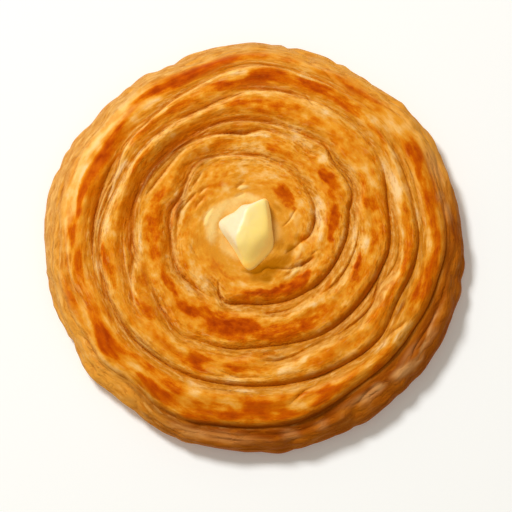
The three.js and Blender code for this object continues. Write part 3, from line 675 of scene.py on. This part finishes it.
def crease_shape(angle, along):
    """What the creases and wrinkles do to each point of the skin."""
    blended, cuts, lips, near, floors, bends, wrinkles = np.zeros((7, len(along)))
    weights = np.full_like(along, STRAIGHT_WEIGHT)
    outer_lip = smooth_step(coil_noise(angle, along, *OUTER_LIP_GRAIN), *LIP_GAPS)
    inner_lip = smooth_step(coil_noise(angle, along, *INNER_LIP_GRAIN), *LIP_GAPS)
    for slope, route in CREASES:
        for beside, here, offset, depth in along_route(angle, along, route):
            away = np.abs(offset) / slope
            outside = offset > 0
            cut = np.exp(-((away / CUT_SPREAD) ** CUT_POWER))
            pillow = np.maximum(1 - away / FOLD_INNER_REACH, 0) ** FOLD_INNER_ROUNDNESS
            wall = 1 - smooth_step(away, 0, FOLD_WALL)
            leaning = 0.5 + 0.5 * np.cos(np.radians(here - FOLDS_LEAN_TO_LAMP_SIDE))
            steep = pillow + FOLD_WALL_SHARE * leaning * (wall - pillow)
            gentle = 1 - smooth_step(away, 0, FOLD_OUTER_REACH)
            hollow = np.where(outside, gentle, steep)
            shape = CUT_SHARE * cut + (1 - CUT_SHARE) * hollow
            blended[beside] += (FOLD_HEIGHT * depth * shape) ** CREASE_BLEND
            strength = np.minimum(depth / FULL_DEPTH, 1)
            keep_larger(cuts, beside, cut * strength)
            lip = bell(away, LIP_PLACE, LIP_WIDTH) * strength
            keep_larger(lips, beside, lip * np.where(outside, outer_lip[beside], inner_lip[beside]))
            floor = smooth_step(away, *FLOOR_STARTS) * (1 - smooth_step(away, *FLOOR_ENDS))
            keep_larger(floors, beside, floor * (strength * outside))
            closeness = bell(offset, 0, LEAF_REACH) * np.minimum(depth / LEAFY_DEPTH, 1)
            keep_larger(near, beside, closeness)
            level = np.mean([read_curve(route, here + step, 1) for step in LEVEL_STEPS], axis=0)
            bends[beside] += closeness * (along[beside] - offset - level)
            weights[beside] += closeness
    for route in WRINKLES:
        for beside, _, offset, depth in along_route(angle, along, route):
            away = np.abs(offset)
            keep_larger(wrinkles, beside, depth * np.exp(-((away / WRINKLE_SLOPE) ** CUT_POWER)))
            rise = depth * bell(away, WRINKLE_LIP_PLACE, WRINKLE_LIP_WIDTH)
            keep_larger(lips, beside, WRINKLE_LIP_SHARE * rise)
    return {
        "depth": blended ** (1 / CREASE_BLEND),
        "wrinkle": wrinkles,
        "cut": np.maximum(cuts, wrinkles),
        "lip": lips,
        "near": near,
        "floor": floors,
        "level": along - bends / weights,
    }


def swelling(angle, along):
    round_ = np.radians(angle)
    total = np.zeros_like(along)
    for height, turns, per_mm, phase in SWELLINGS:
        total += height * np.sin(turns * round_ + 2 * math.pi * per_mm * along + phase)
    return total * np.minimum(along / BREAD_RADIUS, 1)


def bumps_round(angle, rows):
    total = np.zeros_like(angle)
    for centre, height, spread in rows:
        total += height * bell(degrees_away(angle, centre), 0, spread)
    return total


def crust_edge(angle):
    """How far along the skin the crust ends and the side of the rim starts."""
    route = CREASES[-1][1]
    start = route[0][0]
    return read_curve(route, np.minimum((angle - start) % 360 + start, route[-1][0]), 1)


def share_on_side(along, blend=SIDE_BLEND):
    return smooth_step(along, SIDE_STARTS_AT, SIDE_STARTS_AT + blend)


def bread_relief(angle, along):
    """The whole relief in millimetres, the parts of it that the colours follow, and how far along
    the skin each point would lie if the coil ran level there."""
    creases = crease_shape(angle, along)
    level = creases["level"]
    on_side = share_on_side(along)
    leafy = np.clip(LEAFY_ALL_OVER + LEAFY_NEAR * creases["near"] + LEAFY_SIDE * on_side, 0, 1)
    gaps = np.abs(coil_noise(angle, level, *LEAF_GRAIN))
    fine_gaps = np.abs(coil_noise(angle, level, *FINE_LEAF_GRAIN))
    patchy = smooth_step(coil_noise(angle, level, *PATCHY_GRAIN), *PATCHY_SPAN)
    leaves = -LEAF_DEPTH * np.maximum(1 - gaps / LEAF_GAP, 0) * patchy
    leaves -= FINE_LEAF_DEPTH * np.maximum(1 - fine_gaps / FINE_LEAF_GAP, 0) * (1.2 - patchy)
    leaves += layered_noise(angle, level, LEAF_SKIN)
    leaves *= leafy
    lumps = layered_noise(angle, level, LUMPS)
    side_lumps = np.abs(coil_noise(angle, level, *SIDE_LUMP_GRAIN)) - SIDE_LUMP_LEVEL
    lumps += SIDE_LUMP_HEIGHT * on_side * side_lumps
    away_from_seat = smooth_step(along, SEAT_RADIUS, SEAT_EDGE)
    away_from_butter = smooth_step(along, HEART_RADIUS, HEART_EDGE)
    away_from_base = smooth_step(SKIN_LENGTH - along, 0, BASE_EDGE)
    whole = swelling(angle, along) - creases["depth"] + LIP_HEIGHT * creases["lip"]
    whole = (whole + leaves + lumps) * away_from_seat * away_from_base
    whole -= creases["wrinkle"] * away_from_butter * away_from_base
    routes = [route for _, route in CREASES]
    crease_offset, crease_strength = nearest_line(angle, along, routes, CREASE_FULL_DEPTH)
    wrinkle_offset, wrinkle_strength = nearest_line(angle, along, WRINKLES, WRINKLE_FULL_DEPTH)
    parts = {
        "crease_offset": crease_offset,
        "crease_strength": crease_strength * away_from_seat,
        "wrinkle_offset": wrinkle_offset,
        "wrinkle_strength": wrinkle_strength * away_from_butter,
        "cut": creases["cut"] * away_from_seat,
        "hollow": creases["depth"] * away_from_seat,
        "leaf": leaves,
        "lip": creases["lip"] * away_from_seat,
        "leafy": leafy,
        "floor": creases["floor"] * away_from_seat,
    }
    return whole, parts, level


def bread_points(angle, along, relief):
    """Points of the skin, in millimetres, at angles and distances along it."""
    radius = read_curve(SKIN, along, 1)
    height = read_curve(SKIN, along, 2)
    ahead = np.minimum(along + TANGENT_STEP, SKIN_LENGTH)
    behind = np.maximum(along - TANGENT_STEP, 0)
    out = read_curve(SKIN, ahead, 1) - read_curve(SKIN, behind, 1)
    up = read_curve(SKIN, ahead, 2) - read_curve(SKIN, behind, 2)
    length = np.hypot(out, up)
    uneven = bumps_round(angle, RIM_BUMPS) * smooth_step(radius, RIM_STARTS_AT, BASE_RADIUS)
    knobs = 0.5 - np.abs(coil_noise(angle, along, *RIM_KNOB_GRAIN))
    uneven += RIM_KNOB * knobs * share_on_side(along, RIM_KNOB_BLEND)
    reach = radius - up / length * relief + uneven
    off_centre = np.maximum(1 - radius / BREAD_RADIUS, 0)
    x = reach * np.cos(np.radians(angle)) + COIL_OFFSET[0] * off_centre
    y = reach * np.sin(np.radians(angle)) + COIL_OFFSET[1] * off_centre
    return np.column_stack([x, y, height + out / length * relief])


def patches(angle, along, rows, raggedness=1):
    """How strongly some places show, from 0 to 1, with ragged edges along the coil."""
    round_ = angle + raggedness * layered_noise(angle, along, EDGE_TURNED)
    out = along + raggedness * layered_noise(angle, along, EDGE_MOVED)
    ragged = raggedness * layered_noise(angle, along, EDGE_RAGGED)
    left = np.ones_like(along)
    for centre, distance, half_length, half_width, strength in rows:
        turn = degrees_away(round_, centre) / half_length
        across = (out - distance) / half_width
        spot = np.exp(-PLACE_FALL * (turn**2 + across**2))
        left *= 1 - strength * smooth_step(spot * (1 + PLACE_RAGGED * ragged), *PLACE_EDGE)
    return 1 - left


def points_of(mesh):
    points = np.empty(len(mesh.vertices) * 3)
    mesh.vertices.foreach_get("co", points)
    return points.reshape(-1, 3)


def move_points(mesh, points):
    mesh.vertices.foreach_set("co", points.ravel())
    mesh.update()


def facing(mesh, direction):
    """How much each point of a mesh faces a direction, in degrees round."""
    normals = np.empty(len(mesh.vertices) * 3)
    mesh.vertex_normals.foreach_get("vector", normals)
    round_ = math.radians(direction)
    return normals.reshape(-1, 3) @ [math.cos(round_), math.sin(round_), 0]


def paint(mesh, values_by_name):
    """Stores one number, or three, for each point of a mesh, under each name."""
    for name, values in values_by_name.items():
        if values.ndim == 1:
            layer = mesh.attributes.new(name, "FLOAT", "POINT")
            layer.data.foreach_set("value", values)
        else:
            layer = mesh.attributes.new(name, "FLOAT_VECTOR", "POINT")
            layer.data.foreach_set("vector", values.ravel())


def finish_piece(bm, name):
    """Turns a bmesh into a shown object with smooth faces that point outwards."""
    bmesh.ops.recalc_face_normals(bm, faces=bm.faces)
    mesh = bpy.data.meshes.new(name)
    bm.to_mesh(mesh)
    bm.free()
    mesh.shade_smooth()
    piece = bpy.data.objects.new(name, mesh)
    bpy.context.scene.collection.objects.link(piece)
    return piece


def make_bread():
    """A closed ball whose rings are drawn over the bread's section, then moved by the relief."""
    bm = bmesh.new()
    bmesh.ops.create_uvsphere(bm, u_segments=SECTORS, v_segments=RING_COUNT, radius=1)
    bread = finish_piece(bm, "paratha_bread")
    ball = points_of(bread.data)
    angle = np.degrees(np.arctan2(ball[:, 1], ball[:, 0])) % 360
    ring = np.rint(np.arccos(np.clip(ball[:, 2], -1, 1)) / math.pi * RING_COUNT)
    last_skin_ring = RING_COUNT - BASE_RING_COUNT
    along = np.interp(
        ring,
        [0, RINGS_UNDER_BUTTER, last_skin_ring],
        [0, HEART_RADIUS, SKIN_LENGTH],
    )
    inwards = 1 - np.clip((ring - last_skin_ring) / BASE_RING_COUNT, 0, 1)
    relief, parts, level = bread_relief(angle, along)
    points = bread_points(angle, along, relief)
    points[:, :2] *= inwards[:, None]
    # Cream of melted butter, partly painted light over the butter's shadow.
    cream = patches(angle, along, MELT_CREAM_AND_LIGHT, MELT_RAGGEDNESS)
    points[:, 2] += CREAM_RISE * cream
    move_points(bread.data, points * MM)
    on_skin = inwards > 0.99
    for name, rows in PLACES.items():
        parts[name] = patches(angle, along, rows) * on_skin
    parts["cream"] = cream
    # Amber pool of melted butter, partly the butter's painted shadow.
    parts["amber"] = patches(angle, along, MELT_AMBER_AND_SHADOW, MELT_RAGGEDNESS)
    # How much each point faces the lamp's side, which sets the crust's painted light and painted shade.
    parts["leaning"] = facing(bread.data, FOLDS_LEAN_TO_LAMP_SIDE)
    from_melt = np.hypot(points[:, 0] - MELT_MIDDLE[0], points[:, 1] - MELT_MIDDLE[1])
    reach = MELT_REACH + layered_noise(angle, along, MELT_EDGE)
    buttered = 1 - smooth_step(from_melt, reach - MELT_FADES_IN, reach + MELT_FADES_OUT)
    parts["buttered"] = buttered * (along < SIDE_STARTS_AT)
    # Painted shade on the side of the rim below the crust's edge, where it turns away from the lamp.
    under_edge = smooth_step(along - crust_edge(angle), *CRUST_EDGE_SPAN)
    side_shade_share = np.zeros_like(angle)
    for centre, half_length, strength in SIDE_SHADED:
        away = np.abs(degrees_away(angle, centre)) / half_length
        side_shade_share = np.maximum(side_shade_share, strength * (1 - smooth_step(away, *SIDE_SHADED_EDGE)))
    parts["side_brown"] = under_edge * side_shade_share
    parts["side_tan"] = share_on_side(along) * (1 - side_shade_share)
    drawn_in = np.minimum(along / GRAIN_CLOSES_AT, 1)
    level = level - SIDE_STRETCH * np.maximum(along - SIDE_STARTS_AT, 0)
    round_ = np.radians(angle)
    coil = np.column_stack([drawn_in * np.cos(round_), drawn_in * np.sin(round_), level])
    paint(bread.data, {**parts, "coil": coil})
    bread.data.materials.append(crust_material(parts))
    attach(bread, "root")
    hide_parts("paratha")


def make_butter():
    """A ball drawn out to the nearest of the block's faces, soft at its edges and foot."""
    bm = bmesh.new()
    bmesh.ops.create_icosphere(bm, subdivisions=6, radius=1)
    butter = finish_piece(bm, "butter_pat")
    direction = points_of(butter.data)
    direction /= np.linalg.norm(direction, axis=1)[:, None]
    nearness = np.zeros(len(direction))
    for round_, up, distance in BUTTER_FACES:
        flat = math.cos(math.radians(up))
        normal = np.array([
            flat * math.cos(math.radians(round_)),
            flat * math.sin(math.radians(round_)),
            math.sin(math.radians(up)),
        ])
        nearness += np.maximum(direction @ normal / distance, 0) ** BUTTER_EDGE_SHARPNESS
    reach = nearness ** (-1 / BUTTER_EDGE_SHARPNESS)
    points = direction * reach[:, None]
    round_ = np.degrees(np.arctan2(direction[:, 1], direction[:, 0])) % 360
    above = points[:, 2] + BUTTER_ABOVE_BASE
    foot = np.clip(1 - above / BUTTER_FOOT_HEIGHT, 0, 1) ** 2
    runniest = np.maximum(np.cos(np.radians(round_ - BUTTER_RUNS_TOWARDS)), 0)
    uneven = 0.5 + layered_noise(round_, above, BUTTER_FOOT_EDGE) + 0.9 * runniest
    flatness = np.hypot(direction[:, 0], direction[:, 1])
    flare = BUTTER_FOOT_FLARE * foot * uneven * flatness
    dents = layered_noise(round_, above, BUTTER_DENTS) * flatness
    sags = bumps_round(round_, BUTTER_SAGS) * flatness**8
    points += direction * (flare + dents + sags)[:, None]
    across = points[:, 0] - 0.6 * points[:, 1]
    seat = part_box("butter")[0].z / MM - BUTTER_SINKS
    points += [BUTTER_MIDDLE[0], BUTTER_MIDDLE[1], seat + BUTTER_ABOVE_BASE]
    move_points(butter.data, points * MM)
    # Paler where the butter faces the lamp: a painted highlight.
    lamp_facing = smooth_step(facing(butter.data, BUTTER_LAMP_SIDE), 0.15, 0.5)
    melting = 0.45 + 0.03 * across - 0.03 * (above - 5) - 0.35 * lamp_facing
    paint(butter.data, {"melting": melting + (0.1 + 0.7 * runniest) * foot})
    butter.data.materials.append(butter_material())
    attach(butter, "root")
    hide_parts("butter")


class Value:
    """What nodes work out for each place on a surface, to be reckoned with like a number."""

    def __init__(self, socket):
        self.socket = socket
        self.tree = socket.id_data

    def __add__(self, other):
        return reckon("ADD", self, other)

    def __radd__(self, other):
        return reckon("ADD", other, self)

    def __sub__(self, other):
        return reckon("SUBTRACT", self, other)

    def __rsub__(self, other):
        return reckon("SUBTRACT", other, self)

    def __mul__(self, other):
        return reckon("MULTIPLY", self, other)

    def __rmul__(self, other):
        return reckon("MULTIPLY", other, self)

    def eased(self, low, high, to_low=0, to_high=1):
        """Goes smoothly from one number to another while this goes from low to high."""
        span = {"From Min": low, "From Max": high, "To Min": to_low, "To Max": to_high}
        settings = {"interpolation_type": "SMOOTHSTEP"}
        return add_node(self.tree, "MapRange", {"Value": self, **span}, "Result", settings)


def set_inputs(node, inputs):
    """Gives each named input a value, a number, three numbers or a colour."""
    for name, value in inputs.items():
        socket = node.inputs[name]
        if isinstance(value, Value):
            value.tree.links.new(value.socket, socket)
        elif socket.type == "RGBA":
            socket.default_value = (*value, 1)
        else:
            socket.default_value = value


def add_node(tree, kind, inputs, output=0, settings=None):
    node = tree.nodes.new("ShaderNode" + kind)
    for name, setting in (settings or {}).items():
        setattr(node, name, setting)
    set_inputs(node, inputs)
    return Value(node.outputs[output])


def reckon(operation, first, second=0):
    tree = first.tree if isinstance(first, Value) else second.tree
    return add_node(tree, "Math", {0: first, 1: second}, settings={"operation": operation})


def blend(share, below, above):
    """Lays one colour over another by a share."""
    inputs = {"Factor": share, 6: below, 7: above}
    return add_node(share.tree, "Mix", inputs, 2, {"data_type": "RGBA"})


def painted(tree, name, output="Fac"):
    return add_node(tree, "Attribute", {}, output, {"attribute_name": name})


def noise(vector, scale, detail, roughness=0.5):
    inputs = {"Vector": vector, "Scale": scale, "Detail": detail, "Roughness": roughness}
    return add_node(vector.tree, "TexNoise", inputs, "Fac")


def line(offset, place, half_width, strength):
    """A thin line where the offset passes a place, as a share from 0 to 1."""
    return reckon("ABSOLUTE", offset - place).eased(0, half_width, 1, 0) * strength


def colour_ramp(value, stops):
    """A ramp of [place, colour] stops."""
    node = value.tree.nodes.new("ShaderNodeValToRGB")
    ramp = node.color_ramp
    for place, _ in stops[1:-1]:
        ramp.elements.new(place)
    for element, (place, colour) in zip(ramp.elements, stops):
        element.position = place
        element.color = (*colour, 1)
    set_inputs(node, {"Fac": value})
    return Value(node.outputs["Color"])


def new_material(name):
    material = bpy.data.materials.new(name)
    material.use_nodes = True
    tree = material.node_tree
    return material, tree, tree.nodes["Principled BSDF"]


def read_dough(tree, parts):
    """What the crust follows: the numbers painted on it and its grain along the coil."""
    dough = SimpleNamespace(**{name: painted(tree, name) for name in parts})
    coil = painted(tree, "coil", "Vector")
    for name, (round_, out, detail, roughness) in CRUST_GRAINS.items():
        scales = {0: coil, 1: (round_, round_, out)}
        stretched = add_node(tree, "VectorMath", scales, settings={"operation": "MULTIPLY"})
        setattr(dough, name, noise(stretched, 1, detail, roughness))
    # Faces towards the lamp's side and turned away from it, for the painted light and painted shade.
    dough.front = dough.leaning.eased(0.05, 0.5)
    dough.back = dough.leaning.eased(-0.03, -0.35)
    dough.not_back = 1 - dough.back
    dough.in_light = dough.not_back * (1 - dough.side_brown)
    dough.not_pale = dough.pale.eased(0, 0.6, 1, 0.35)
    return dough


def draw_lines(dough):
    """Adds the thin lines: creases, wrinkles, strands, lips, and strokes darker or paler. The dark
    lines in creases and wrinkles and the shadow line beside a crease are painted shade; the lips
    and pale strokes show only where light falls, as painted highlights.
    """
    wobble = -0.65 + 0.7 * dough.streaks + 0.6 * dough.grain
    beside_crease = dough.crease_offset + wobble
    beside_wrinkle = dough.wrinkle_offset + wobble
    crease = dough.crease_strength
    wrinkle = dough.wrinkle_strength
    broken = dough.grain.eased(0.35, 0.6, 0.25, 1)
    dough.crease_line = line(beside_crease, 0, 0.4, crease * broken)
    # Painted shadow beside a crease, on faces turned from the lamp.
    dough.foot_line = line(beside_crease, 0.5, 1.1, crease * dough.back)
    dough.wrinkle_line = line(beside_wrinkle, 0, 0.5, wrinkle * broken)
    dough.strand_line = line(dough.strands - 0.5, 0, 0.028, dough.leafy)
    outer_share = dough.clouds.eased(0.42, 0.55)
    outer_lip = line(beside_crease, 1.3, 0.8, crease) * outer_share
    inner_lip = line(beside_crease, -1.3, 0.8, crease) * (1 - outer_share)
    lips = outer_lip + inner_lip + 0.8 * line(beside_wrinkle, 1.1, 0.7, wrinkle)
    # Lips show only where light falls: painted highlights.
    dough.lips = lips * dough.in_light * broken
    stroke_share = dough.leafy.eased(0.1, 0.7, 0.2, 1) * dough.blotches.eased(0.35, 0.6, 0.35, 1)
    dough.dark_strokes = dough.strokes.eased(0.53, 0.63) * stroke_share
    # Pale strokes show only on unbrowned places in light: partly painted highlights.
    unbrowned = dough.browned.eased(0.1, 0.7, 1, 0) * dough.in_light
    dough.pale_strokes = dough.strokes.eased(0.36, 0.47, 1, 0) * (stroke_share * unbrowned)


def weigh(dough, weights, start=0):
    """Adds up some of the dough's values, each times its weight."""
    total = start
    for name, weight in weights.items():
        total = total + weight * getattr(dough, name)
    return total


def bake(dough):
    """The crust's colour: its tone, and what lies over it, layer by layer."""
    ragged = -0.4 + 0.35 * dough.grain + 0.45 * dough.streaks
    dough.scorched = (dough.browned + 1.2 * ragged).eased(0.26, 0.74)
    # Pale places are paler still on faces not turned from the lamp: partly painted light.
    dough.pale_not_back = dough.pale * dough.not_back
    dough.cut_bottom = dough.cut.eased(0.2, 1)
    # Painted shade on the backs of the folds, strongest in deep hollows, weaker on pale places.
    back = dough.back * dough.hollow.eased(0.3, 1.8, 0.3, 0.75) * dough.not_pale
    # Painted light on the fronts of the folds, less where they are browned.
    lit_front_share = dough.front * dough.browned.eased(0.05, 0.4, 0.65, 0)
    lit_front_share = lit_front_share * dough.blotches.eased(0.38, 0.6, 1, 0.45)
    floors = reckon("MAXIMUM", dough.valley, dough.floor) * dough.not_back
    valley = floors * dough.streaks.eased(0.3, 0.65, 0.5, 1) * dough.not_pale
    side_share = dough.streaks.eased(0.3, 0.65, 0.75, 1)
    soaked = dough.buttered * dough.browned.eased(0.3, 0.7, 1, 0.25)
    layers = [
        (back, SHADED_BACK_COLOUR),
        (lit_front_share, LIT_FRONT_COLOUR),
        (valley, VALLEY_COLOUR),
        (dough.side_tan * side_share, blend(dough.front, SIDE_TAN, SIDE_TAN_DIMMED_TOWARDS_LAMP)),
        (dough.side_brown * side_share, SIDE_SHADE_COLOUR),
        (dough.seam, PAINTED_SHADE_COLOUR),
        (dough.side_lobes, SIDE_LOBE_COLOUR),
        (dough.hollow.eased(0.8, 3.2, 0, 0.25), HOLLOW_SHADE_COLOUR),
        (reckon("MINIMUM", weigh(dough, PALE_WEIGHTS), 0.6), LIT_EDGE_COLOUR),
        (0.45 * dough.dark_strokes, STROKE_COLOUR),
        (reckon("MINIMUM", weigh(dough, DARK_WEIGHTS), 0.9), DARK_LINE_AND_SHADE_COLOUR),
        (soaked * dough.blotches.eased(0.3, 0.6, 0.5, 0.85), MELT_GOLD),
        ((dough.cream + 0.2 * dough.grain).eased(0.1, 1.1), MELT_CREAM_AND_LIGHT_COLOUR),
        ((dough.amber + 0.2 * dough.grain).eased(0.1, 1.1), MELT_AMBER_AND_SHADOW_COLOUR),
    ]
    colour = colour_ramp(weigh(dough, TONE_WEIGHTS, TONE_START), CRUST_TONES)
    for share, layer in layers:
        colour = blend(share, colour, layer)
    return colour


def crust_material(parts):
    """Golden layered dough, pale to red-brown where the pan touched it. Painted shade darkens its
    cuts, hollows and the faces turned from the lamp; painted light makes the faces towards it paler.
    """
    material, tree, shader = new_material("browned_crust")
    dough = read_dough(tree, parts)
    draw_lines(dough)
    dough.leafy_streaks = dough.streaks * dough.leafy
    bumps = {"Strength": 0.5, "Distance": 0.8 * MM, "Height": weigh(dough, BUMP_WEIGHTS)}
    set_inputs(shader, {
        "Base Color": bake(dough),
        "Roughness": dough.blotches.eased(0.3, 0.7, 0.4, 0.6) - 0.22 * dough.buttered,
        "Subsurface Weight": 0.06,
        "Subsurface Radius": (0.0015, 0.0008, 0.0003),
        "Subsurface Scale": 1,
        "Specular IOR Level": 0.06 + 0.2 * dough.buttered,
        "Specular Tint": (1, 0.6, 0.05),
        "Normal": add_node(tree, "Bump", bumps, "Normal"),
    })
    return material


def butter_material():
    """Soft butter: paler on the side towards the lamp, a painted highlight, yellow to golden where
    it melts, with a faint glow that is painted light.
    """
    material, tree, shader = new_material("soft_butter")
    clouds = noise(add_node(tree, "TexCoord", {}, "Object"), 260, 2)
    melting = -0.15 + painted(tree, "melting") + 0.3 * clouds
    set_inputs(shader, {
        "Base Color": colour_ramp(melting, BUTTER_TONES),
        "Roughness": 0.35,
        "Specular IOR Level": 0.3,
        # A faint glow: painted light that brightens the butter's shaded faces.
        "Emission Color": (1, 0.74, 0.24),
        "Emission Strength": 0.24,
        "Subsurface Weight": 0.2,
        "Subsurface Radius": (0.004, 0.003, 0.0015),
        "Subsurface Scale": 1,
    })
    return material


def make_floor():
    bm = bmesh.new()
    bmesh.ops.create_grid(bm, x_segments=1, y_segments=1, size=2.5)
    floor = finish_piece(bm, "floor")
    material, _, shader = new_material("pale_floor")
    set_inputs(shader, {
        "Base Color": (0.88, 0.93, 1),
        "Roughness": 0.9,
        "Emission Color": (0.9, 0.95, 1),
        "Emission Strength": 0.12,
    })
    floor.data.materials.append(material)


def make_light(name, azimuth, elevation, distance, size, power):
    """A round lamp that looks at the bread. Azimuth runs from +X towards +Y, in degrees."""
    a = math.radians(azimuth)
    e = math.radians(elevation)
    towards = Vector((math.cos(e) * math.cos(a), math.cos(e) * math.sin(a), math.sin(e)))
    lamp = bpy.data.lights.new(name, "AREA")
    lamp.shape = "DISK"
    lamp.size = size
    lamp.energy = power
    lamp.color = (1, 0.97, 0.9)
    holder = bpy.data.objects.new(name, lamp)
    holder.location = towards * distance
    holder.rotation_euler = towards.to_track_quat("Z", "Y").to_euler()
    bpy.context.scene.collection.objects.link(holder)


def light_scene():
    make_light("window", azimuth=133, elevation=48, distance=3, size=0.9, power=80)
    make_light("fill", azimuth=300, elevation=60, distance=1.6, size=1.2, power=1)
    world = bpy.data.worlds.new("studio")
    world.use_nodes = True
    set_inputs(world.node_tree.nodes["Background"], {"Color": (1, 0.83, 0.6), "Strength": 0.33})
    bpy.context.scene.world = world
    bpy.context.scene.view_settings.view_transform = "Standard"


# The camera looks down from the -Y side at the middle of the picture.
CAMERA_ELEVATION = 75
CAMERA_DISTANCE = 2.5
LOOKED_AT = Vector((0.5, -6.1, 12)) * MM
PICTURE_WIDTH = 218.9 * MM


def make_camera():
    e = math.radians(CAMERA_ELEVATION)
    back = Vector((0, -math.cos(e), math.sin(e)))
    lens = bpy.data.cameras.new("camera")
    lens.sensor_width = 36
    lens.lens = lens.sensor_width * CAMERA_DISTANCE / PICTURE_WIDTH
    camera = bpy.data.objects.new("camera", lens)
    camera.location = LOOKED_AT + back * CAMERA_DISTANCE
    camera.rotation_euler = back.to_track_quat("Z", "Y").to_euler()
    bpy.context.scene.collection.objects.link(camera)
    bpy.context.scene.camera = camera


make_camera()
make_bread()
make_butter()
make_floor()
light_scene()
